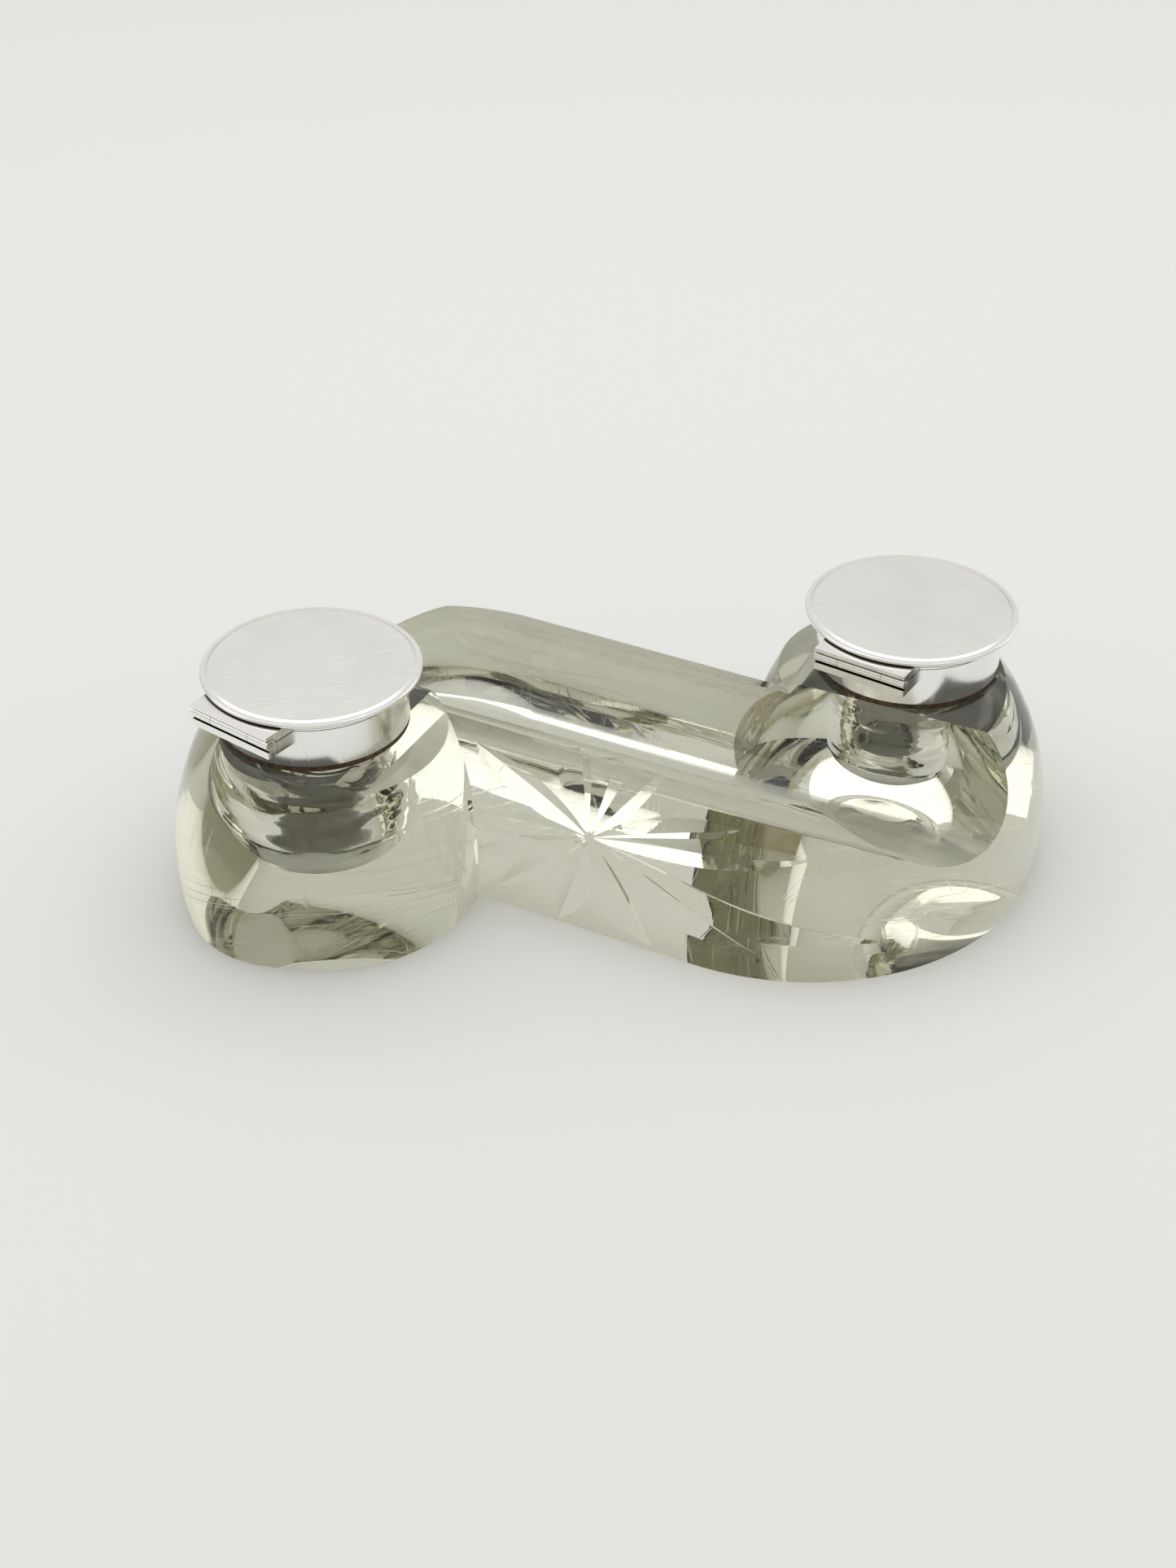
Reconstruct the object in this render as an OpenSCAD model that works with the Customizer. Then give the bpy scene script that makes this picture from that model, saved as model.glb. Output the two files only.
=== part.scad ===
// Double inkwell: one block of cut glass with two domed ends, a round-bottomed pen groove
// running slantwise between them, and a hinged silver lid over each well.
// Frame: origin at the centre of the base, +X from the left dome to the right dome,
// +Z up, and the front of the stand towards -Y. Everything but the two hinges
// repeats by a half turn about the Z axis.

/* [Glass block] */
// Height of the flat ground tops of the domes
dome_top_z = 40.6; // [38:0.2:43]
// Height of the narrow ridges beside the pen groove
ridge_z = 37.8; // [35:0.2:38]
// Distance of each small dome's axis from the centre
dome_x = 60.4; // [58:0.2:62]
// Radius of the small dome at the base
dome_base_r = 31.2; // [30:0.1:32]
// Radius of the small dome at its flat top
dome_top_r = 22.6; // [22.2:0.1:25]
// Outward swell of the side at half its height
side_swell = 4.0; // [3:0.1:5]
// Extra fullness of the side just below the top
side_shoulder = 0; // [-1:0.1:3]
// Distance of the long sweeping curve's axis from the centre
sweep_x = 39.2; // [38:0.2:40]

/* [Pen groove] */
// Radius of the round-bottomed groove
groove_r = 17.6; // [16:0.1:18.5]
// Height of the groove's axis
groove_z = 39.7; // [38:0.1:42]
// Direction of the groove, turned from the line of the lids
groove_turn = -36.3; // [-40:0.1:-32]

/* [Wells] */
// Distance of each well and its lid from the centre
well_x = 61.8; // [60:0.1:63]
// Radius of each ink well
well_r = 13.0; // [11:0.1:14]
// Height of the deepest point of each well
well_floor_z = 11.5; // [9:0.5:20]
// Radius of the rounding between the well's wall and floor
well_round_r = 7.0; // [3:0.5:10]
// Radius of the glass neck that carries the collar
neck_r = 17.6; // [16.5:0.1:17.8]
// Height of the top of the glass neck
neck_top_z = 49.2; // [46:0.1:49.4]

/* [Star cuts] */
// Distance of the star's centre along the side wall from the middle of the block
star_along = 7.5; // [0:0.5:14]
// Height of the star's centre
star_z = 22.9; // [18:0.1:26]
// Depth of a cut for each millimetre of its width
cut_slope = 0.42; // [0.2:0.01:0.6]

/* [Silver mounts] */
// Radius of the lids over their rolled rims
lid_r = 22.0; // [20:0.1:23]
// Height of the top of the lids
lid_top_z = 53.4; // [52:0.1:56]
// Thickness of the lid disc at its rim
lid_thick = 1.1; // [0.8:0.1:1.6]
// Outer radius of the collar and of the band under the lid
collar_r = 19.1; // [18:0.1:19.5]
// Thickness of the silver sheet
sheet = 0.6; // [0.4:0.05:0.8]
// Height of the lower edge of the collar
collar_low_z = 41.8; // [41:0.1:43]
// Height of the joint between the collar and the lid
joint_z = 50.2; // [49.5:0.1:51]

/* [Hinges] */
// Direction of the left lid's hinge, seen from that lid's centre
left_hinge_turn = -137.5; // [-150:0.5:-120]
// Direction of the right lid's hinge, seen from that lid's centre
right_hinge_turn = -133.5; // [-150:0.5:-120]
// Distance of the hinge pin from the lid's centre
pin_out = 22.6; // [22:0.1:23]
// Radius of the hinge pin
pin_r = 0.55; // [0.4:0.05:0.7]
// Outer radius of the knuckles
knuckle_r = 1.2; // [1.1:0.05:1.3]
// Length of the whole hinge
hinge_len = 20.0; // [16:0.5:22]
// Length of the middle knuckle, which belongs to the lid
mid_knuckle_len = 9.6; // [6:0.1:12]
// How far the lid opens, in degrees
lid_open = 0; // [0:1:100]

/* [Hidden] */

LEFT = 0;
RIGHT = 1;
SIDE_STEPS = 12;             // straight steps up the side of the block, below the ridges
DOME_WEDGE = 32;             // how far the small dome goes on round past the line of the lids
ROUND = 96;                  // facets of a full circle
FAR = 200;                   // longer than the block in any direction
glass_colour = [0.72, 0.76, 0.66];
silver_colour = [0.86, 0.86, 0.85];
dull_silver_colour = [0.72, 0.71, 0.69];
cement_colour = [0.30, 0.25, 0.20];

// The straight walls are turned from the line of the lids by an angle of whole-number sides, and
// lengths are rounded to 0.1 micrometre, so that neighbouring curves meet exactly.
WALL_SIDES = [1485, 1148];
WALL_SLANT = 1877;
wall_turn = -atan2(WALL_SIDES[1], WALL_SIDES[0]);
function tidy(x) = round(x * 10000) / 10000;
// In the frame of the straight walls, the point at a distance along the line of the lids
function on_lid_line(distance) = tidy(distance / WALL_SLANT) * WALL_SIDES;
sweep_axis = on_lid_line(sweep_x);
dome_axis = on_lid_line(dome_x);
axes_apart = tidy(norm(dome_axis - sweep_axis));
wall_half_len = sweep_axis[0];             // where the straight wall meets the sweeping curve
wall_mid = sweep_axis[1];                  // sweep axis to the middle plane of the straight part
groove_slant = groove_turn - wall_turn;     // between the groove and the straight walls
pin_z = joint_z;
running_gap = 0.05;          // pin in the lid's knuckle
side_gap = 0.1;              // between neighbouring knuckles
lid_gap = 0.15;              // between the lid's band and the collar
plate_gap = 0.12;            // between a knuckle and the other leaf's plate
pin_end = 0.25;              // how far each end of the pin stands proud
lip_thick = 0.95;            // part of each hinge plate that reaches over the knuckles
side_knuckle_len = (hinge_len - mid_knuckle_len) / 2 - side_gap;

// Radius of the dome's swelling side at height z: a straight taper plus a bow and a shoulder.
// The sweeping curve has the same side, further out, so that it runs smoothly into the dome.
function side_r(z) =
    let (u = z / dome_top_z, bow = 4 * side_swell * u * (1 - u) + side_shoulder * (u - pow(u, 6)))
    tidy(dome_base_r + (dome_top_r - dome_base_r) * u + bow);
function sweep_r(z) = side_r(z) + axes_apart;
side_heights = concat(
    [for (i = [0:SIDE_STEPS]) tidy(ridge_z * i / SIDE_STEPS)],
    [tidy((ridge_z + dome_top_z) / 2), dome_top_z]
);

// A point of the front wall, by its distance along the wall and its height,
// in the frame of the straight walls; the sweep axis is at [wall_half_len, wall_mid].
function wall_angle(along) = max(along - wall_half_len, 0) / sweep_r(0) * 180 / PI;
function wall_point(along, z, out) =
    let (a = wall_angle(along), r = sweep_r(z) + out)
    [min(along, wall_half_len) + r * sin(a), wall_mid - r * cos(a), z];

// Rays of the star: [direction, length, width above or left of it, width on the other side].
STAR_RAYS = [
    [-106, 23, 4.6, 2.8], [-55.5, 26, 2.2, 6.0], [-23.5, 41, 1.6, 4.4], [-11.7, 62, 1.4, 4.6],
    [6.7, 47, 3.6, 2.0], [17, 33, 3.0, 1.6], [52, 24, 3.4, 2.2], [82, 24, 3.2, 3.2],
    [112, 24, 3.2, 2.4], [158, 30, 2.6, 2.6], [185, 30, 2.2, 2.2], [203, 30, 2.2, 2.2],
    [222, 27, 2.2, 3.0]
];
RAY_STEPS = 5;               // straight steps along one ray
RAY_START = 1.2;             // the cuts start this far from the star's centre
RAY_LIFT = 1.0;              // the cutting tool stands this far above the surface

// Share of a ray's full width at t, from 0 at the star's centre to 1 at the tip.
function leaf(t) = pow(sin(180 * pow(t, 0.85)), 0.8);

// Corners of the cutter across one ray: [left of the ray, right of the ray, bottom of the cut].
function ray_section(ray, t) =
    let (
        reach = RAY_START + t * (ray[1] - RAY_START),
        width = max(leaf(t), 0.02),
        depth = cut_slope * width * (ray[2] + ray[3]) / 2,
        over = 1 + RAY_LIFT / depth,
        left = ray[2] * width * over,
        right = ray[3] * width * over,
        along = star_along + reach * cos(ray[0]),
        z = star_z + reach * sin(ray[0])
    )
    [
        wall_point(along - left * sin(ray[0]), z + left * cos(ray[0]), RAY_LIFT),
        wall_point(along + right * sin(ray[0]), z - right * cos(ray[0]), RAY_LIFT),
        wall_point(along, z, -depth)
    ];
function ray_sections(ray) = [for (i = [0:RAY_STEPS]) each ray_section(ray, i / RAY_STEPS)];
// Triangles of a tube of three-cornered sections, closed at both ends.
function side_triangles(i) =
    [for (k = [0:2]) each
        let (a = 3 * i + k, b = 3 * i + (k + 1) % 3)
        [[a, b + 3, b], [a, a + 3, b + 3]]];
function tube_triangles(steps) = concat(
    [[0, 1, 2]],
    [for (i = [0:steps - 1]) each side_triangles(i)],
    [[3 * steps + 2, 3 * steps + 1, 3 * steps]]
);

// Where a mount stands: [distance along X, direction of its hinge].
function mount_x(side) = side == LEFT ? -well_x : well_x;
function mount_turn(side) = side == LEFT ? left_hinge_turn : right_hinge_turn;

// ---- Glass -----------------------------------------------------------------

// Half of a swelling side, from its axis outwards, for a curve of the side's radius plus extra.
module side_profile(extra) {
    polygon(concat(
        [[0, 0]],
        [for (z = side_heights) [side_r(z) + extra, z]],
        [[0, dome_top_z]]
    ));
}

// The round end over the well, on the rear side of the line of the lids and a little past it.
module small_dome() {
    past = 180 - wall_turn + DOME_WEDGE;
    intersection() {
        translate([dome_axis[0], dome_axis[1], 0])
            rotate([0, 0, -90])
                rotate_extrude($fn = ROUND)
                    side_profile(0);
        linear_extrude(FAR)
            polygon([
                0.1 * WALL_SIDES, dome_axis,
                dome_axis + FAR * [cos(past), sin(past)],
                [-FAR, 0], [-FAR, FAR], [0.1 * WALL_SIDES[0], FAR]
            ]);
    }
}

// The long curve from the end of the straight wall round to the line of the lids.
module sweeping_end() {
    difference() {
        intersection() {
            translate([sweep_axis[0], sweep_axis[1], 0])
                rotate([0, 0, -90])
                    rotate_extrude(angle = 180, $fn = ROUND)
                        side_profile(axes_apart);
            linear_extrude(FAR)
                polygon([[0, 0], [0, -FAR], [0.1 * WALL_SIDES[0], -FAR], 0.1 * WALL_SIDES]);
        }
        // in front of the groove it is no higher than the ridge
        translate([0, 0, ridge_z])
            linear_extrude(FAR)
                polygon([
                    FAR * [-cos(groove_slant), -sin(groove_slant)],
                    FAR * [cos(groove_slant), sin(groove_slant)],
                    [FAR, -FAR], [-FAR, -FAR]
                ]);
    }
}

module straight_walls() {
    heights = [for (z = side_heights) if (z <= ridge_z) z];
    rotate([90, 0, 90])
        translate([0, 0, -wall_half_len])
            linear_extrude(2 * wall_half_len)
                polygon(concat(
                    [for (z = heights) [sweep_r(z) - wall_mid, z]],
                    [for (i = [len(heights) - 1:-1:0]) [wall_mid - sweep_r(heights[i]), heights[i]]]
                ));
}

// In the frame of the straight walls, as the groove and the star are.
module block() {
    straight_walls();
    for (turn = [0, 180])
        rotate([0, 0, turn]) {
            sweeping_end();
            small_dome();
        }
}

// The cylinder's seam is turned upwards, clear of the glass.
module pen_groove() {
    rotate([90, 0, groove_slant + 90])
        translate([0, groove_z, -FAR])
            rotate([0, 0, 90])
                cylinder(r = groove_r, h = 2 * FAR, $fn = ROUND);
}

module well() {
    rotate_extrude($fn = ROUND) {
        translate([0, well_floor_z])
            square([well_r - well_round_r, FAR]);
        translate([0, well_floor_z + well_round_r])
            square([well_r, FAR]);
        intersection() {
            translate([well_r - well_round_r, well_floor_z + well_round_r])
                circle(r = well_round_r, $fn = ROUND);
            translate([0, well_floor_z])
                square([well_r, FAR]);
        }
    }
}

module star() {
    for (ray = STAR_RAYS)
        polyhedron(points = ray_sections(ray), faces = tube_triangles(RAY_STEPS));
}

module glass_body() {
    color(glass_colour)
        difference() {
            union() {
                rotate([0, 0, wall_turn])
                    difference() {
                        block();
                        pen_groove();
                        star();
                    }
                for (x = [-well_x, well_x])
                    translate([x, 0, dome_top_z - 1])
                        cylinder(r = neck_r, h = neck_top_z - dome_top_z + 1, $fn = ROUND);
            }
            for (x = [-well_x, well_x])
                translate([x, 0, 0])
                    well();
        }
}

// ---- Silver mounts ---------------------------------------------------------

module at_mount(side) {
    translate([mount_x(side), 0, 0])
        rotate([0, 0, mount_turn(side)])
            children();
}

// Carries the lid's own pieces, swung about the pin by lid_open.
module on_lid(side) {
    at_mount(side)
        translate([pin_out, 0, pin_z])
            rotate([0, lid_open, 0])
                translate([-pin_out, 0, -pin_z])
                    children();
}

module ring(inner_r, outer_r, low_z, high_z) {
    rotate_extrude($fn = ROUND)
        translate([inner_r, low_z])
            square([outer_r - inner_r, high_z - low_z]);
}

// A round bar along the hinge line, centred on mid.
module hinge_bar(r, length, mid = 0) {
    translate([pin_out, mid + length / 2, pin_z])
        rotate([90, 0, 0])
            cylinder(r = r, h = length, $fn = 64);
}

module knuckle(length, mid, bore_r) {
    difference() {
        hinge_bar(knuckle_r, length, mid);
        hinge_bar(bore_r, length + 1, mid);
    }
}

// Room for the knuckles: the plate's own knuckles touch it, the other plate's clear it.
module knuckle_room(mid_r, side_r) {
    hinge_bar(mid_r, mid_knuckle_len + 2 * side_gap);
    for (s = [-1, 1])
        hinge_bar(side_r, side_knuckle_len + 1, s * (mid_knuckle_len / 2 + side_gap + (side_knuckle_len + 1) / 2));
}

// Dark setting cement between the glass neck and the collar, showing as a thin line below it.
module cement(side) {
    color(cement_colour)
        at_mount(side)
            rotate_extrude($fn = ROUND)
                polygon([
                    [neck_r, dome_top_z], [collar_r - 0.1, dome_top_z],
                    [collar_r - 0.1, collar_low_z], [collar_r - sheet, collar_low_z],
                    [collar_r - sheet, neck_top_z], [neck_r, neck_top_z]
                ]);
}

module collar(side) {
    color(silver_colour)
        at_mount(side)
            ring(collar_r - sheet, collar_r, collar_low_z, joint_z - lid_gap);
}

// Flat silver ring over the top of the neck, round the mouth of the well.
module mouth_ring(side) {
    color(dull_silver_colour)
        at_mount(side)
            ring(well_r, collar_r - sheet, neck_top_z, neck_top_z + sheet);
}

module collar_hinge_plate(side) {
    low_z = pin_z - knuckle_r - plate_gap - lip_thick * 1.6;
    color(silver_colour)
        at_mount(side)
            difference() {
                translate([0, -hinge_len / 2, low_z])
                    cube([pin_out + 0.9, hinge_len, pin_z - plate_gap - low_z]);
                translate([0, 0, low_z - 1])
                    cylinder(r = collar_r, h = FAR, $fn = ROUND);
                translate([pin_out, -hinge_len, pin_z - knuckle_r - plate_gap])
                    cube([FAR, 2 * hinge_len, FAR]);
                knuckle_room(knuckle_r + plate_gap, knuckle_r);
            }
}

module collar_knuckles(side) {
    color(silver_colour)
        at_mount(side)
            for (s = [-1, 1])
                knuckle(side_knuckle_len, s * (mid_knuckle_len / 2 + side_gap + side_knuckle_len / 2), pin_r);
}

module hinge_pin(side) {
    color(dull_silver_colour)
        at_mount(side)
            hinge_bar(pin_r, hinge_len + 2 * pin_end);
}

module lid_disc(side) {
    edge_r = lid_r - lid_thick;
    color(silver_colour)
        on_lid(side)
            rotate_extrude($fn = ROUND)
                polygon([
                    [0, lid_top_z - lid_thick], [edge_r, lid_top_z - lid_thick],
                    [edge_r, lid_top_z - 0.15], [edge_r - 0.6, lid_top_z], [0, lid_top_z]
                ]);
}

// Rolled wire round the edge of the lid.
module lid_rim(side) {
    wire_r = lid_thick / 2;
    color(silver_colour)
        on_lid(side)
            rotate_extrude($fn = ROUND)
                translate([lid_r - lid_thick, lid_top_z - lid_thick])
                    union() {
                        square([wire_r, lid_thick - 0.15]);
                        intersection() {
                            translate([wire_r, wire_r - 0.075])
                                circle(r = wire_r, $fn = 48);
                            square([lid_thick, lid_thick - 0.15]);
                        }
                    }
}

module lid_band(side) {
    color(silver_colour)
        on_lid(side)
            ring(collar_r - sheet, collar_r, joint_z, lid_top_z - lid_thick);
}

// Flat lining under the lid, with a round lip that drops into the mouth of the well.
module lid_liner(side) {
    lining_z = lid_top_z - lid_thick;
    lip_r = well_r - 0.4;
    color(dull_silver_colour)
        on_lid(side)
            rotate_extrude($fn = ROUND)
                polygon([
                    [0, lining_z - sheet], [lip_r - sheet, lining_z - sheet],
                    [lip_r - sheet, neck_top_z - 1.5], [lip_r, neck_top_z - 1.5],
                    [lip_r, lining_z - sheet], [collar_r - sheet, lining_z - sheet],
                    [collar_r - sheet, lining_z], [0, lining_z]
                ]);
}

module lid_hinge_plate(side) {
    high_z = lid_top_z - lid_thick;
    color(silver_colour)
        on_lid(side)
            difference() {
                translate([0, -hinge_len / 2, pin_z + plate_gap])
                    cube([pin_out + 1.15, hinge_len, high_z - pin_z - plate_gap]);
                cylinder(r = collar_r, h = FAR, $fn = ROUND);
                translate([pin_out, -hinge_len, pin_z - FAR])
                    cube([FAR, 2 * hinge_len, FAR + knuckle_r + plate_gap]);
                knuckle_room(knuckle_r, knuckle_r + plate_gap);
            }
}

module lid_knuckle(side) {
    color(silver_colour)
        on_lid(side)
            knuckle(mid_knuckle_len, 0, pin_r + running_gap);
}

glass_body();
cement(LEFT);  // left_cement
collar(LEFT);  // left_collar
mouth_ring(LEFT);  // left_mouth_ring
collar_hinge_plate(LEFT);  // left_collar_hinge_plate
collar_knuckles(LEFT);  // left_collar_knuckles
hinge_pin(LEFT);  // left_hinge_pin
lid_disc(LEFT);  // left_lid_disc
lid_rim(LEFT);  // left_lid_rim
lid_band(LEFT);  // left_lid_band
lid_liner(LEFT);  // left_lid_liner
lid_hinge_plate(LEFT);  // left_lid_hinge_plate
lid_knuckle(LEFT);  // left_lid_knuckle
cement(RIGHT);  // right_cement
collar(RIGHT);  // right_collar
mouth_ring(RIGHT);  // right_mouth_ring
collar_hinge_plate(RIGHT);  // right_collar_hinge_plate
collar_knuckles(RIGHT);  // right_collar_knuckles
hinge_pin(RIGHT);  // right_hinge_pin
lid_disc(RIGHT);  // right_lid_disc
lid_rim(RIGHT);  // right_lid_rim
lid_band(RIGHT);  // right_lid_band
lid_liner(RIGHT);  // right_lid_liner
lid_hinge_plate(RIGHT);  // right_lid_hinge_plate
lid_knuckle(RIGHT);  // right_lid_knuckle
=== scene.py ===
import math

import bmesh
import bpy
import numpy as np
from mathutils import Matrix, Vector


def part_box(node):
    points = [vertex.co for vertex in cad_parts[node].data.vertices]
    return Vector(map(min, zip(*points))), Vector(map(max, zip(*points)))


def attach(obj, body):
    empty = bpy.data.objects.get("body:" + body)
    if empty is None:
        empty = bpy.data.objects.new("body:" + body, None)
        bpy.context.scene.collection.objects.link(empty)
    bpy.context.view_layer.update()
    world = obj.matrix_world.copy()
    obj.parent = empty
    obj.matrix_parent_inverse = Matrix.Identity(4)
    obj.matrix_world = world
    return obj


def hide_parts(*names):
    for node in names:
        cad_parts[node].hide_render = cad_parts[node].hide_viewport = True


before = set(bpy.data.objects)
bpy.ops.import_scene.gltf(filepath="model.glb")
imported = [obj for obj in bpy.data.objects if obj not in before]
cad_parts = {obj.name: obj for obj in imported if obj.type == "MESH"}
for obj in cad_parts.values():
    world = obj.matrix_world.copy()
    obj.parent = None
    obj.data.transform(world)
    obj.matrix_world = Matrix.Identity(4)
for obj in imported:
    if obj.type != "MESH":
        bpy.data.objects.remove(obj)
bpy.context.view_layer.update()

MM = 0.001
SCENE = bpy.context.scene

# ---- Sizes of the glass block, in millimetres -------------------------------------
# The heights, axes, groove, necks, wells and star follow the CAD model. The side profiles are the picture's
# own, as is the slope of the star's cuts. The block stays inside the CAD model's box.

DOME_TOP = 40.6
RIDGE = 37.8
# Radius at the base, radius at the top, swell at half height, fullness below the top
DOME_SIDE = (30.9, 23.9, 4.0, -0.6)
SWEEP_SIDE = (52.3, 42.1, 3.9, 1.8)
# The long sweep runs into the dome's circle between these angles past the line through the lids.
BLEND_START, BLEND_END = math.radians(5), math.radians(70)

# The block is drawn with its straight walls along X, and turned about Z at the end.
WALL_TURN = -math.atan2(1148, 1485)
SWEEP_AXIS = np.array([31.0365, 23.9932])
DOME_AXIS = np.array([47.8170, 36.9656])
AXES_APART = float(np.linalg.norm(DOME_AXIS - SWEEP_AXIS))
WALL_HALF, WALL_MID = SWEEP_AXIS

GROOVE_R, GROOVE_Z = 17.6, 39.7
GROOVE_SLANT = math.radians(-36.3) - WALL_TURN
NECK_R, NECK_TOP = 17.6, 49.2
WELL_R, WELL_FLOOR, WELL_ROUND = 13.0, 11.5, 7.0
WELL_BEND_Z = WELL_FLOOR + WELL_ROUND
WELL_BEND_R = WELL_R - WELL_ROUND
RIPPLES_TOP = 44

# Rays of the star: direction in degrees, length, width on the left, width on the right
STAR_ALONG, STAR_Z = 7.5, 22.9
CUT_SLOPE = 0.46
RAY_START, RAY_LIFT, TIP_WIDTH = 1.0, 1.0, 0.015
STAR_RAYS = (
    (-106, 23, 4.6, 2.8), (-55.5, 26, 2.2, 6.0), (-23.5, 41, 1.6, 4.4), (-11.7, 62, 1.4, 4.6),
    (6.7, 47, 3.6, 2.0), (17, 33, 3.0, 1.6), (52, 24, 3.4, 2.2), (82, 24, 3.2, 3.2),
    (112, 24, 3.2, 2.4), (158, 30, 2.6, 2.6), (185, 30, 2.2, 2.2), (203, 30, 2.2, 2.2),
    (222, 27, 2.2, 3.0),
)

# Steps along each stretch of the outline, up the side, and round the turned pieces
WALL_STEPS, SWEEP_STEPS, END_STEPS = 27, 109, 149
SIDE_ROWS, TOP_ROWS, RIDGE_ROWS = 40, 4, 9
GROOVE_STEPS, TURNED_STEPS, BEND_STEPS, RAY_STEPS = 384, 256, 20, 30
# How far the cutters reach past the block
FAR, FAR_ALONG, FAR_UP = 200.0, 130.0, 70.0
# Edges sharper than this stay sharp. A corner is on a surface if it is this near and faces the same way.
SHARP_ANGLE, ON_SURFACE, SAME_WAY = math.radians(20), 0.02, 0.97
FIT, SLOPE_STEP = 0.01, 0.01
# The ridge cutters follow the dome's side this closely, to a direction that lies inside the groove.
CUT_CLEARANCE, DOME_IN_GROOVE = 0.004, math.radians(250)


def middle(node):
    lo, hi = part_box(node)
    return (lo + hi) / 2


WELLS = {side: middle(side + "_collar") / MM for side in ("left", "right")}


def side_profile(side, z):
    base, top, swell, shoulder = side
    u = z / DOME_TOP
    return base + (top - base) * u + 4 * swell * u * (1 - u) + shoulder * (u - u**6)


def side_r(z):
    return side_profile(DOME_SIDE, z)


def sweep_r(z):
    return side_profile(SWEEP_SIDE, z)


def end_r(z, past):
    """Radius about the dome's axis, by the angle past the line that joins the two lids."""
    t = np.clip((past - BLEND_START) / (BLEND_END - BLEND_START), 0, 1)
    share = t * t * (3 - 2 * t)
    along = AXES_APART * np.cos(past)
    far = -along + np.sqrt(along**2 - AXES_APART**2 + sweep_r(z) ** 2)
    return far * (1 - share) + side_r(z) * share


# ---- Mesh helpers -------------------------------------------------------------


def mesh_object(name, verts, faces):
    mesh = bpy.data.meshes.new(name)
    mesh.from_pydata([tuple(float(c) * MM for c in v) for v in verts], [], faces)
    mesh.validate()
    obj = bpy.data.objects.new(name, mesh)
    SCENE.collection.objects.link(obj)
    return obj


def outward(obj, weld=0.0, triangles=False):
    """Makes every face of a closed mesh look outward, after welding its points or cutting it in triangles."""
    bm = bmesh.new()
    bm.from_mesh(obj.data)
    if weld:
        bmesh.ops.remove_doubles(bm, verts=bm.verts, dist=weld)
    if triangles:
        bmesh.ops.triangulate(bm, faces=bm.faces)
    bmesh.ops.recalc_face_normals(bm, faces=bm.faces)
    if bm.calc_volume(signed=True) < 0:
        bmesh.ops.reverse_faces(bm, faces=bm.faces)
    bm.to_mesh(obj.data)
    bm.free()
    return obj


def tube_faces(sections, points):
    """Side faces between neighbouring sections of a tube, each a closed ring of points."""
    faces = []
    for section in range(sections - 1):
        a, b = section * points, (section + 1) * points
        for k in range(points):
            m = (k + 1) % points
            faces.append((a + k, b + k, b + m, a + m))
    return faces


def loft(name, plans, heights):
    """A closed solid through plans with the same number of points."""
    n = len(plans[0])
    verts = [(x, y, z) for plan, z in zip(plans, heights) for x, y in plan]
    top = (len(plans) - 1) * n
    faces = [tuple(reversed(range(n))), *tube_faces(len(plans), n), tuple(range(top, top + n))]
    return outward(mesh_object(name, verts, faces))


def lathe(name, outline, centre):
    """A closed solid of revolution from a closed outline of (radius, height) points."""
    verts = []
    for turn in range(TURNED_STEPS + 1):
        a = 2 * math.pi * (turn % TURNED_STEPS) / TURNED_STEPS
        verts += [(centre.x + r * math.cos(a), centre.y + r * math.sin(a), z) for r, z in outline]
    faces = tube_faces(TURNED_STEPS + 1, len(outline))
    return outward(mesh_object(name, verts, faces), weld=1e-7)


def boolean(obj, cutter, operation="DIFFERENCE"):
    """Cuts obj with the cutter, or joins them, and removes the cutter."""
    mod = obj.modifiers.new("cut", "BOOLEAN")
    mod.operation = operation
    mod.object = cutter
    mod.solver = "MANIFOLD"
    bpy.context.view_layer.update()
    graph = bpy.context.evaluated_depsgraph_get()
    made = bpy.data.meshes.new_from_object(obj.evaluated_get(graph))
    obj.modifiers.clear()
    old, obj.data = obj.data, made
    bpy.data.meshes.remove(old)
    bpy.data.objects.remove(cutter)


# ---- The glass block ------------------------------------------------------------


def notch_turn(z):
    """Direction from the dome's axis at which its side meets the rear straight wall."""
    return math.pi - math.asin((sweep_r(z) - WALL_MID - DOME_AXIS[1]) / side_r(z))


def polar(centre, r, turns):
    return np.stack([centre[0] + r * np.cos(turns), centre[1] + r * np.sin(turns)], 1)


def arc(centre, r, start, end, count):
    return polar(centre, r, np.linspace(start, end, count))


def half_plan(z):
    """Half of the outline at a height: front wall, long sweep, and the end round to the rear notch."""
    big, seam, end = sweep_r(z), -WALL_TURN, notch_turn(z)
    notch_x = DOME_AXIS[0] + side_r(z) * math.cos(end)
    wall_x = np.linspace(-notch_x, WALL_HALF, WALL_STEPS + 1)[:-1]
    wall = np.stack([wall_x, np.full(WALL_STEPS, WALL_MID - big)], 1)
    sweep = arc(SWEEP_AXIS, big, -math.pi / 2, seam, SWEEP_STEPS + 1)[:-1]
    past = np.linspace(0, end - seam, END_STEPS + 1)[:-1]
    dome = polar(DOME_AXIS, end_r(z, past), seam + past)
    return np.concatenate([wall, sweep, dome])


def block_plan(z):
    """The whole outline, the same after a half turn."""
    half = half_plan(z)
    return np.concatenate([half, -half])


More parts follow.
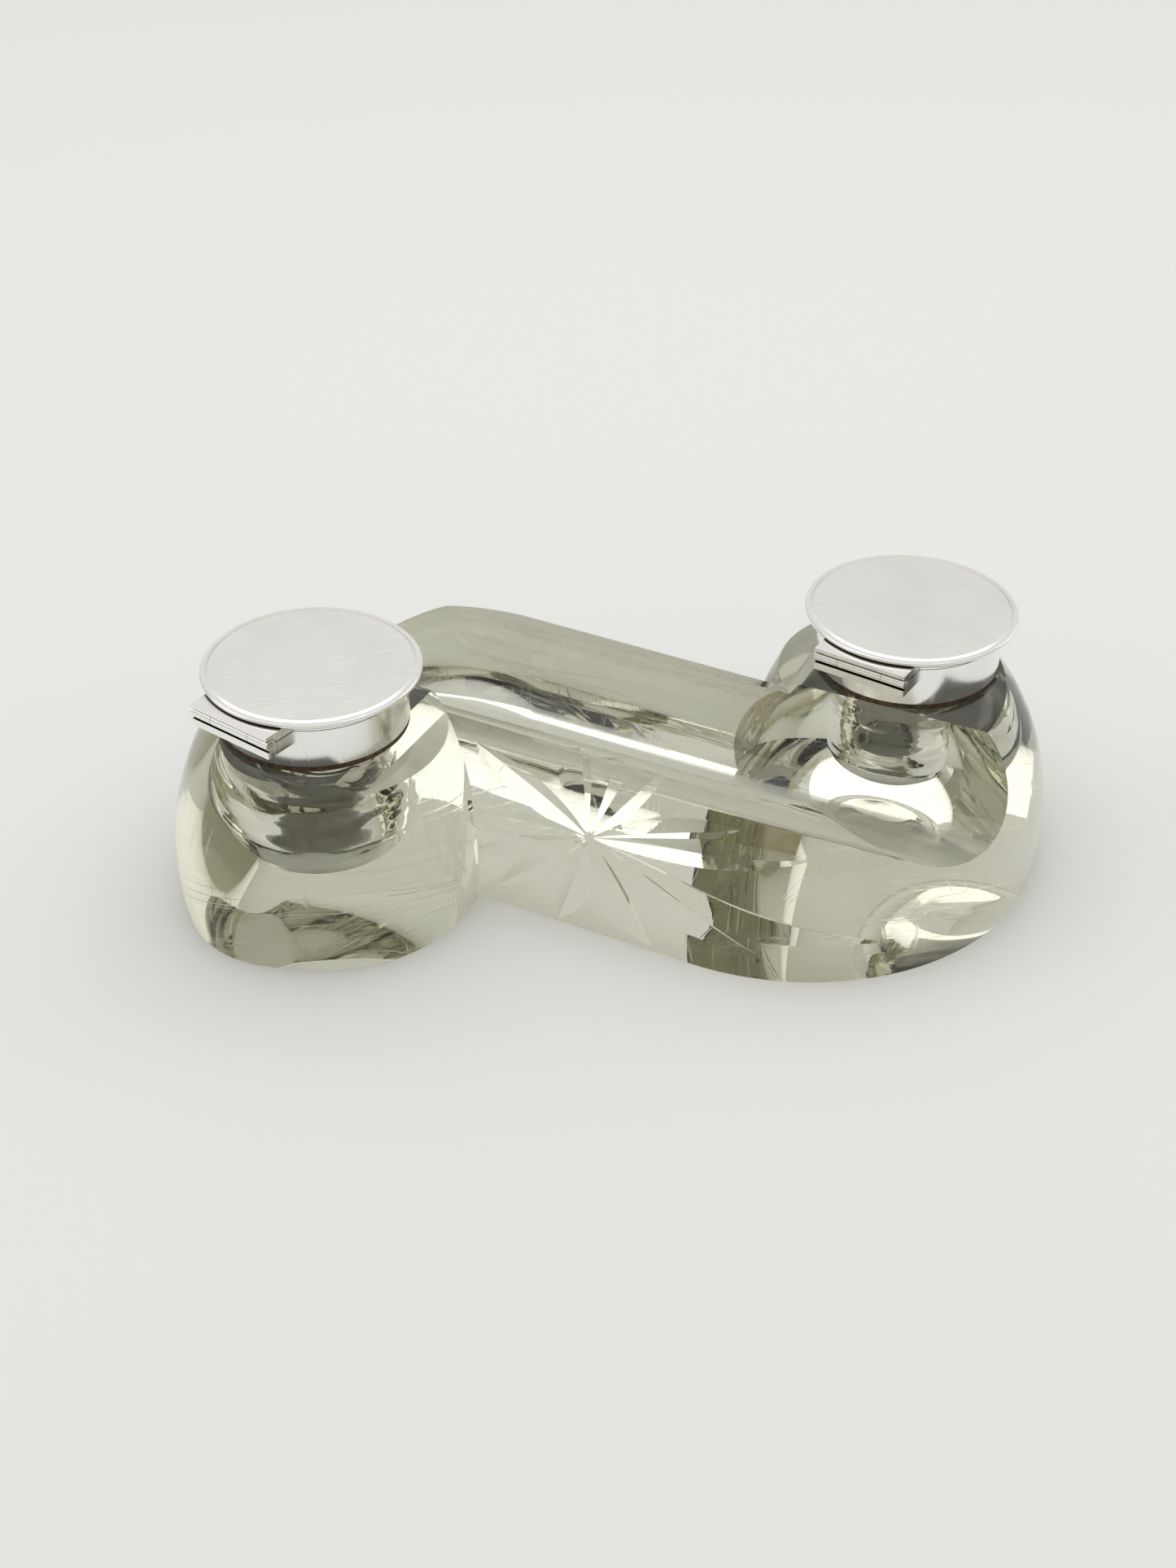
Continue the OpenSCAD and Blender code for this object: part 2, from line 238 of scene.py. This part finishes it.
def ridge_cutter(half):
    """All that stands above the ridge beside one dome. half is 1, or -1 for the other dome."""
    heights = np.concatenate([np.linspace(RIDGE, DOME_TOP, RIDGE_ROWS), [DOME_TOP + 6]])
    groove_slope = math.tan(GROOVE_SLANT)
    plans = []
    for z in heights:
        low = min(z, DOME_TOP)
        side = arc(DOME_AXIS, side_r(low) + CUT_CLEARANCE, notch_turn(low), DOME_IN_GROOVE, 90)
        in_groove = (side[-1, 0], groove_slope * side[-1, 0])
        groove_end = (-FAR * math.cos(GROOVE_SLANT), -FAR * math.sin(GROOVE_SLANT))
        away = np.array([in_groove, groove_end, (-FAR, FAR), (side[0, 0], FAR)])
        plans.append(half * np.concatenate([side, away])[::-1])
    return loft("ridge_cutter", plans, heights)


def groove_cutter():
    along = np.array([math.cos(GROOVE_SLANT), math.sin(GROOVE_SLANT), 0])
    across = np.array([-along[1], along[0], 0])
    verts = []
    for end in (-FAR_ALONG, FAR_ALONG):
        for step in range(GROOVE_STEPS):
            a = 2 * math.pi * (step + 0.5) / GROOVE_STEPS
            height = np.array([0, 0, GROOVE_Z + GROOVE_R * math.sin(a)])
            verts.append(along * end + across * GROOVE_R * math.cos(a) + height)
    near = tuple(reversed(range(GROOVE_STEPS)))
    far = tuple(range(GROOVE_STEPS, 2 * GROOVE_STEPS))
    return outward(mesh_object("groove_cutter", verts, [near, far, *tube_faces(2, GROOVE_STEPS)]))


def wall_point(along, z, out):
    """A point of the front wall by its distance along the wall and its height."""
    a = max(along - WALL_HALF, 0) / sweep_r(0)
    r = sweep_r(z) + out
    return (min(along, WALL_HALF) + r * math.sin(a), WALL_MID - r * math.cos(a), z)


def leaf(t):
    """Share of a ray's full width, from the star's centre at 0 to the tip at 1."""
    return max(max(math.sin(math.pi * t**0.85), 0) ** 0.8, TIP_WIDTH)


def ray_cutter(direction, length, left_width, right_width):
    """A leaf-shaped tool with a V-shaped section, lifted off the wall so that it cuts cleanly."""
    c, s = math.cos(math.radians(direction)), math.sin(math.radians(direction))
    verts = []
    for step in range(RAY_STEPS + 1):
        t = step / RAY_STEPS
        width = leaf(t)
        reach = RAY_START + t * (length - RAY_START)
        depth = CUT_SLOPE * width * (left_width + right_width) / 2
        over = 1 + RAY_LIFT / depth
        along, z = STAR_ALONG + reach * c, STAR_Z + reach * s
        left, right = left_width * width * over, right_width * width * over
        verts.append(wall_point(along - left * s, z + left * c, RAY_LIFT))
        verts.append(wall_point(along + right * s, z - right * c, RAY_LIFT))
        verts.append(wall_point(along, z, -depth))
    last = 3 * RAY_STEPS
    faces = [(0, 1, 2), *tube_faces(RAY_STEPS + 1, 3), (last + 2, last + 1, last)]
    return outward(mesh_object("ray_cutter", verts, faces), triangles=True)


def well_cutter(centre):
    bend = [
        (WELL_BEND_R + WELL_ROUND * math.sin(a), WELL_BEND_Z - WELL_ROUND * math.cos(a))
        for a in np.linspace(0, math.pi / 2, BEND_STEPS)
    ]
    return lathe("well_cutter", [(0.0, WELL_FLOOR), *bend, (WELL_R, FAR_UP), (0.0, FAR_UP)], centre)


def neck(centre):
    low = DOME_TOP - 1
    return lathe("neck", [(0.0, low), (NECK_R, low), (NECK_R, NECK_TOP), (0.0, NECK_TOP)], centre)


def make_glass():
    below = np.linspace(0, RIDGE, SIDE_ROWS)
    above = np.linspace(RIDGE, DOME_TOP, TOP_ROWS)[1:]
    heights = np.concatenate([below, above])
    block = loft("glass_block", [block_plan(z) for z in heights], heights)
    for half in (1, -1):
        boolean(block, ridge_cutter(half))
    boolean(block, groove_cutter())
    for ray in STAR_RAYS:
        boolean(block, ray_cutter(*ray))
    block.data.transform(Matrix.Rotation(WALL_TURN, 4, "Z"))
    for centre in WELLS.values():
        boolean(block, neck(centre), "UNION")
        boolean(block, well_cutter(centre))
    return block


def unit(vectors):
    return vectors / np.maximum(np.linalg.norm(vectors, axis=1), 1e-9)[:, None]


def turned(vectors, angle):
    """The same vectors, turned about Z."""
    c, s = math.cos(angle), math.sin(angle)
    x, y, z = vectors.T
    return np.column_stack([c * x - s * y, s * x + c * y, z])


def wall_and_groove_normals(points):
    """Distance of each point from both straight walls and the groove, and the glass's normal there."""
    z = np.clip(points[:, 2], 0, DOME_TOP)
    slope = (sweep_r(z + SLOPE_STEP) - sweep_r(z - SLOPE_STEP)) / (2 * SLOPE_STEP)
    flat = np.zeros(len(points))
    for half in (1, -1):
        out = np.column_stack([flat, flat - half, -slope])
        yield np.abs(half * points[:, 1] + sweep_r(z) - WALL_MID), out
    across = np.array([-math.sin(GROOVE_SLANT), math.cos(GROOVE_SLANT)])
    side, up = points[:, :2] @ across, points[:, 2] - GROOVE_Z
    yield np.abs(np.hypot(side, up) - GROOVE_R), np.column_stack([-np.outer(side, across), -up])


def well_normals(points, centre):
    """The same for the neck, the well's straight side and the well's bend, in turn."""
    off = points[:, :2] - np.array(centre.xy)
    dist = np.linalg.norm(off, axis=1)
    radial, flat, up = unit(off), np.zeros(len(points)), points[:, 2] - WELL_BEND_Z
    yield np.abs(dist - NECK_R), np.column_stack([radial, flat])
    yield np.where(up > 0, np.abs(dist - WELL_R), FAR), np.column_stack([-radial, flat])
    inward = dist - WELL_BEND_R
    in_bend = (up <= FIT) & (inward > -FIT)
    away = np.where(in_bend, np.abs(np.hypot(inward, up) - WELL_ROUND), FAR)
    yield away, np.column_stack([-radial * inward[:, None], -up])


def set_normals(obj):
    """Smooths the block up to its sharp edges, then gives corners on its plain surfaces exact normals."""
    mesh = obj.data
    mesh.shade_smooth()
    mesh.set_sharp_from_angle(angle=SHARP_ANGLE)
    normals = np.array([c.vector for c in mesh.corner_normals])
    points = np.array([v.co for v in mesh.vertices], float) / MM
    points = points[[loop.vertex_index for loop in mesh.loops]]
    face_normals = np.repeat([p.normal for p in mesh.polygons], [p.loop_total for p in mesh.polygons], axis=0)
    surfaces = [(*found, WALL_TURN) for found in wall_and_groove_normals(turned(points, -WALL_TURN))]
    for centre in WELLS.values():
        surfaces += [(*found, 0) for found in well_normals(points, centre)]
    nearest = np.full(len(points), ON_SURFACE)
    for away, exact, turn in surfaces:
        exact = unit(exact)
        # The walls' and the groove's normals are tested before their turn, so most keep the smooth shading.
        fits = (away < nearest) & ((exact * face_normals).sum(1) > SAME_WAY)
        nearest[fits] = away[fits]
        normals[fits] = turned(exact, turn)[fits]
    mesh.normals_split_custom_set([tuple(n) for n in normals])


# ---- Materials --------------------------------------------------------------------

GLASS_TINT, WELL_TINT = (0.965, 0.962, 0.935, 1), (0.97, 0.962, 0.935, 1)
SHADOW_TINT = (0.93, 0.93, 0.895, 1)
DEPTH_TINT, DEPTH_DENSITY = (0.60, 0.595, 0.43, 1), 11.0
# Painted shade that ambient occlusion lays into crevices and the gaps between the silver parts: its dark
# brown colour, and how far in metres it looks for them.
PAINTED_SHADE, PAINTED_SHADE_REACH = (0.085, 0.062, 0.040), 0.0016
POLISHED, DULL = (0.955, 0.945, 0.925), (0.70, 0.665, 0.61)
PAPER, PAPER_SHINE = (0.785, 0.79, 0.775, 1), 0.15


def material(name):
    mat = bpy.data.materials.new(name)
    mat.use_nodes = True
    tree = mat.node_tree
    bsdf = next(n for n in tree.nodes if n.type == "BSDF_PRINCIPLED")
    return mat, tree, bsdf


def add(tree, kind, **settings):
    node = tree.nodes.new(kind)
    for key, value in settings.items():
        setattr(node, key, value)
    return node


def coords(tree, scale=(1, 1, 1), turn=(0, 0, 0)):
    place = add(tree, "ShaderNodeTexCoord")
    mapping = add(tree, "ShaderNodeMapping")
    mapping.inputs["Scale"].default_value = scale
    mapping.inputs["Rotation"].default_value = turn
    tree.links.new(place.outputs["Object"], mapping.inputs["Vector"])
    return mapping.outputs["Vector"]


def noise(tree, scale, detail=3.0, stretch=(1, 1, 1), turn=(0, 0, 0), rough=0.5):
    node = add(tree, "ShaderNodeTexNoise")
    node.inputs["Scale"].default_value = scale
    node.inputs["Detail"].default_value = detail
    node.inputs["Roughness"].default_value = rough
    tree.links.new(coords(tree, stretch, turn), node.inputs["Vector"])
    return node.outputs["Fac"]


def remap(tree, value, a, b, low, high):
    node = add(tree, "ShaderNodeMapRange")
    node.inputs["From Min"].default_value = a
    node.inputs["From Max"].default_value = b
    node.inputs["To Min"].default_value = low
    node.inputs["To Max"].default_value = high
    tree.links.new(value, node.inputs["Value"])
    return node.outputs["Result"]


def combine(tree, a, b, how="ADD"):
    node = add(tree, "ShaderNodeMath", operation=how)
    for socket, value in zip(node.inputs, (a, b)):
        if isinstance(value, (int, float)):
            socket.default_value = value
        else:
            tree.links.new(value, socket)
    return node.outputs[0]


def two_colours(tree, share, low, high):
    """Goes from the low colour to the high one. Each is a colour, or a socket that gives one."""
    node = add(tree, "ShaderNodeMix", data_type="RGBA")
    tree.links.new(share, node.inputs[0])
    for socket, colour in ((node.inputs[6], low), (node.inputs[7], high)):
        if isinstance(colour, tuple):
            socket.default_value = (*colour, 1)
        else:
            tree.links.new(colour, socket)
    return node.outputs[2]


def scratches(tree, scale, turns, width=0.010, stretch=0.04):
    """Fine straight scratches in several directions, 1 on a scratch and 0 elsewhere."""
    total = None
    for k, turn in enumerate(turns):
        place = coords(tree, (stretch, 1, stretch), (turn * 0.7, turn * 0.4, turn))
        cells = add(tree, "ShaderNodeTexVoronoi", feature="DISTANCE_TO_EDGE")
        cells.inputs["Scale"].default_value = scale * (1 + 0.17 * k)
        tree.links.new(place, cells.inputs["Vector"])
        line = remap(tree, cells.outputs["Distance"], 0.0, width, 1.0, 0.0)
        broken = remap(tree, noise(tree, scale * 0.35, 2.0, turn=(k, turn, 0)), 0.52, 0.60, 0.0, 1.0)
        line = combine(tree, line, broken, "MULTIPLY")
        total = line if total is None else combine(tree, total, line, "MAXIMUM")
    return total


def bump(tree, height, strength, distance, normal=None):
    node = add(tree, "ShaderNodeBump")
    node.inputs["Strength"].default_value = strength
    node.inputs["Distance"].default_value = distance
    tree.links.new(height, node.inputs["Height"])
    if normal is not None:
        tree.links.new(normal, node.inputs["Normal"])
    return node.outputs["Normal"]


def make_glass_material():
    mat, tree, bsdf = material("old_glass")
    bsdf.inputs["Base Color"].default_value = GLASS_TINT
    bsdf.inputs["Transmission Weight"].default_value = 1.0
    bsdf.inputs["IOR"].default_value = 1.52
    lines = scratches(tree, 260, (0.3, 1.2, 2.2))
    specks = remap(tree, noise(tree, 900, 2.0, turn=(0.3, 0.1, 0.5)), 0.70, 0.76, 0.0, 1.0)
    rough = combine(tree, 0.004, combine(tree, lines, 0.20, "MULTIPLY"))
    rough = combine(tree, rough, combine(tree, specks, 0.06, "MULTIPLY"))
    tree.links.new(rough, bsdf.inputs["Roughness"])
    wave = bump(tree, noise(tree, 30, 1.0), 0.25, 0.00025)
    tree.links.new(bump(tree, lines, 0.15, 0.00003, wave), bsdf.inputs["Normal"])
    let_light_through(tree, bsdf)
    return mat


def let_light_through(tree, bsdf):
    """The glass tints what passes through it, and its shadow is pale."""
    out = next(n for n in tree.nodes if n.type == "OUTPUT_MATERIAL")
    clear = add(tree, "ShaderNodeBsdfTransparent")
    clear.inputs["Color"].default_value = SHADOW_TINT
    path = add(tree, "ShaderNodeLightPath")
    mix = add(tree, "ShaderNodeMixShader")
    tree.links.new(path.outputs["Is Shadow Ray"], mix.inputs[0])
    tree.links.new(bsdf.outputs[0], mix.inputs[1])
    tree.links.new(clear.outputs[0], mix.inputs[2])
    tree.links.new(mix.outputs[0], out.inputs["Surface"])
    volume = add(tree, "ShaderNodeVolumeAbsorption")
    volume.inputs["Color"].default_value = DEPTH_TINT
    volume.inputs["Density"].default_value = DEPTH_DENSITY
    tree.links.new(volume.outputs[0], out.inputs["Volume"])


def make_well_glass(glass_material):
    """The wells' inner faces: the same glass with the ripples of its pressing."""
    mat = glass_material.copy()
    mat.name = "well_glass"
    tree = mat.node_tree
    bsdf = next(n for n in tree.nodes if n.type == "BSDF_PRINCIPLED")
    bsdf.inputs["Base Color"].default_value = WELL_TINT
    wave = noise(tree, 85, 1.5, stretch=(0.6, 0.6, 2.0), turn=(0.5, 0.2, 0))
    tree.links.new(bump(tree, wave, 1.0, 0.0016), bsdf.inputs["Normal"])
    return mat


def make_silver(name, colour, rough, scuff, dirt):
    """Silver with cloudy wear, hairline scratches, and painted shade: ambient occlusion darkens its crevices
    and the gaps between parts to a dark brown.
    """
    mat, tree, bsdf = material(name)
    bsdf.inputs["Metallic"].default_value = 1.0
    lines = scratches(tree, 420, (0.5, 1.4, 2.5))
    cloud = noise(tree, 70, 4.0, turn=(0.2, 0.5, 0.1))
    worn = tuple(c * dirt for c in colour)
    clean = two_colours(tree, remap(tree, cloud, 0.34, 0.56, 0.0, 1.0), worn, colour)
    # Painted shade: where ambient occlusion finds crevices and gaps between parts, the colour goes dark
    # brown.
    crevice = add(tree, "ShaderNodeAmbientOcclusion", samples=8)
    crevice.inputs["Distance"].default_value = PAINTED_SHADE_REACH
    open_part = remap(tree, crevice.outputs["AO"], 0.35, 0.90, 0.0, 1.0)
    tree.links.new(two_colours(tree, open_part, PAINTED_SHADE, clean), bsdf.inputs["Base Color"])
    value = remap(tree, cloud, 0.3, 0.7, rough * 1.25, rough * 0.8)
    value = combine(tree, value, combine(tree, lines, scuff, "MULTIPLY"))
    tree.links.new(value, bsdf.inputs["Roughness"])
    soft = bump(tree, noise(tree, 120, 3.0), 0.25, 0.0001)
    tree.links.new(bump(tree, lines, 0.3, 0.00002, soft), bsdf.inputs["Normal"])
    return mat


def make_cement():
    mat, tree, bsdf = material("old_cement")
    grain = noise(tree, 900, 6.0, rough=0.65)
    share = remap(tree, grain, 0.35, 0.7, 0.0, 1.0)
    colour = two_colours(tree, share, (0.030, 0.018, 0.010), (0.16, 0.105, 0.055))
    tree.links.new(colour, bsdf.inputs["Base Color"])
    bsdf.inputs["Roughness"].default_value = 0.85
    tree.links.new(bump(tree, grain, 0.8, 0.0003), bsdf.inputs["Normal"])
    return mat


# ---- Pieces ---------------------------------------------------------------------------

looks = {
    "glass": make_glass_material(),
    "silver": make_silver("silver_plate", POLISHED, rough=0.17, scuff=0.12, dirt=0.95),
    "dull_silver": make_silver("silver_hinge", DULL, rough=0.27, scuff=0.20, dirt=0.80),
    "cement": make_cement(),
}
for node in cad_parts.values():
    slot = node.data.materials[0].name.split(".")[0]
    node.data.materials.clear()
    node.data.materials.append(looks[slot])


def in_well(point):
    """Whether a point of the block, in millimetres, is on a well's side or floor, below its mouth."""
    near = min((point.xy - centre.xy).length for centre in WELLS.values())
    return near < WELL_R + 0.05 and WELL_FLOOR - 0.1 < point.z < RIPPLES_TOP


glass = make_glass()
set_normals(glass)
glass.data.materials.clear()
glass.data.materials.append(looks["glass"])
glass.data.materials.append(make_well_glass(looks["glass"]))
for polygon in glass.data.polygons:
    polygon.material_index = int(in_well(polygon.center / MM))
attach(glass, "stand")
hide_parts("glass_body")

# ---- Stage, camera and lights ------------------------------------------------------------

# Metres. The paper lies flat from its near edge to the curve, and then bends up behind the object.
PAPER_NEAR, PAPER_CURVE, PAPER_SIDE = -5.0, 0.60, 4.0
CURVE_R, CURVE_TURN = 0.8, math.radians(60)
PAPER_GAP = 0.00005

# Name, place, aim, size, power in watts, colour
LIGHTS = (
    ("top_softbox", (0.05, 0.25, 0.95), (0, 0.05, 0), (1.1, 0.9), 3.4, (1, 1, 1)),
    ("left_window", (-1.0, 0.15, 0.55), (0, 0, 0.02), (0.8, 0.7), 1.0, (0.98, 0.99, 1.0)),
    ("right_fill", (1.0, 0.35, 0.5), (0, 0, 0.02), (0.6, 0.6), 0.8, (1.0, 0.985, 0.96)),
)
ROOM_LOW, ROOM_HIGH = (0.44, 0.405, 0.29), (0.82, 0.82, 0.805)

CAMERA_PLACE = Vector((-80.8, -375.5, 289.7)) * MM
CAMERA_FORWARD = Vector((0.1594, 0.7988, -0.5800))
CAMERA_RIGHT = Vector((0.9807, -0.1957, 0.0))
CAMERA_ROLL = math.radians(0.594)
LENS, SENSOR = 51.2, 36.0
EXPOSURE = -0.09
# Light goes through several faces of the glass before it leaves.
BOUNCES, MIRROR_BOUNCES, GLASS_BOUNCES = 32, 20, 24


def make_stage():
    rows = [(y, 0.0) for y in np.linspace(PAPER_NEAR, PAPER_CURVE, 12)]
    for a in np.linspace(0, CURVE_TURN, 16)[1:]:
        rows.append((PAPER_CURVE + CURVE_R * math.sin(a), CURVE_R - CURVE_R * math.cos(a)))
    verts = [(x, y, z) for y, z in rows for x in (-PAPER_SIDE, PAPER_SIDE)]
    faces = [(2 * row, 2 * row + 1, 2 * row + 3, 2 * row + 2) for row in range(len(rows) - 1)]
    mesh = bpy.data.meshes.new("backdrop")
    mesh.from_pydata(verts, [], faces)
    mesh.shade_smooth()
    obj = bpy.data.objects.new("backdrop", mesh)
    obj.rotation_euler = (0, 0, math.atan2(CAMERA_RIGHT.y, CAMERA_RIGHT.x))
    obj.location = (0, 0, -PAPER_GAP)
    SCENE.collection.objects.link(obj)
    mat, _, bsdf = material("backdrop_paper")
    bsdf.inputs["Base Color"].default_value = PAPER
    bsdf.inputs["Roughness"].default_value = 0.9
    bsdf.inputs["Specular IOR Level"].default_value = PAPER_SHINE
    mesh.materials.append(mat)
    return obj


def make_light(name, place, target, size, power, colour):
    light = bpy.data.lights.new(name, "AREA")
    light.shape = "RECTANGLE"
    light.size, light.size_y = size
    light.energy = power
    light.color = colour
    obj = bpy.data.objects.new(name, light)
    obj.location = place
    obj.rotation_euler = (Vector(target) - Vector(place)).to_track_quat("-Z", "Y").to_euler()
    SCENE.collection.objects.link(obj)


def make_room():
    """Bright overhead and dimmer, warmer light from low down, which makes the bands in the glass."""
    world = bpy.data.worlds.new("room")
    SCENE.world = world
    world.use_nodes = True
    tree = world.node_tree
    background = next(n for n in tree.nodes if n.type == "BACKGROUND")
    split = add(tree, "ShaderNodeSeparateXYZ")
    tree.links.new(add(tree, "ShaderNodeTexCoord").outputs["Generated"], split.inputs[0])
    height = remap(tree, split.outputs["Z"], 0.10, 0.55, 0.0, 1.0)
    tree.links.new(two_colours(tree, height, ROOM_LOW, ROOM_HIGH), background.inputs["Color"])


def make_camera():
    forward, right = CAMERA_FORWARD.normalized(), CAMERA_RIGHT.normalized()
    right = right * math.cos(CAMERA_ROLL) + right.cross(forward) * math.sin(CAMERA_ROLL)
    turn = Matrix((right, right.cross(forward), -forward)).transposed().to_4x4()
    lens = bpy.data.cameras.new("camera")
    lens.lens = LENS
    lens.sensor_fit = "VERTICAL"
    lens.sensor_height = SENSOR
    lens.clip_start, lens.clip_end = 0.01, 20.0
    camera = bpy.data.objects.new("camera", lens)
    camera.matrix_world = Matrix.Translation(CAMERA_PLACE) @ turn
    SCENE.collection.objects.link(camera)
    SCENE.camera = camera


make_stage()
make_room()
for light in LIGHTS:
    make_light(*light)
make_camera()
SCENE.view_settings.view_transform = "Standard"
SCENE.view_settings.look = "None"
SCENE.view_settings.exposure = EXPOSURE
SCENE.cycles.max_bounces = BOUNCES
SCENE.cycles.glossy_bounces = MIRROR_BOUNCES
SCENE.cycles.transmission_bounces = GLASS_BOUNCES
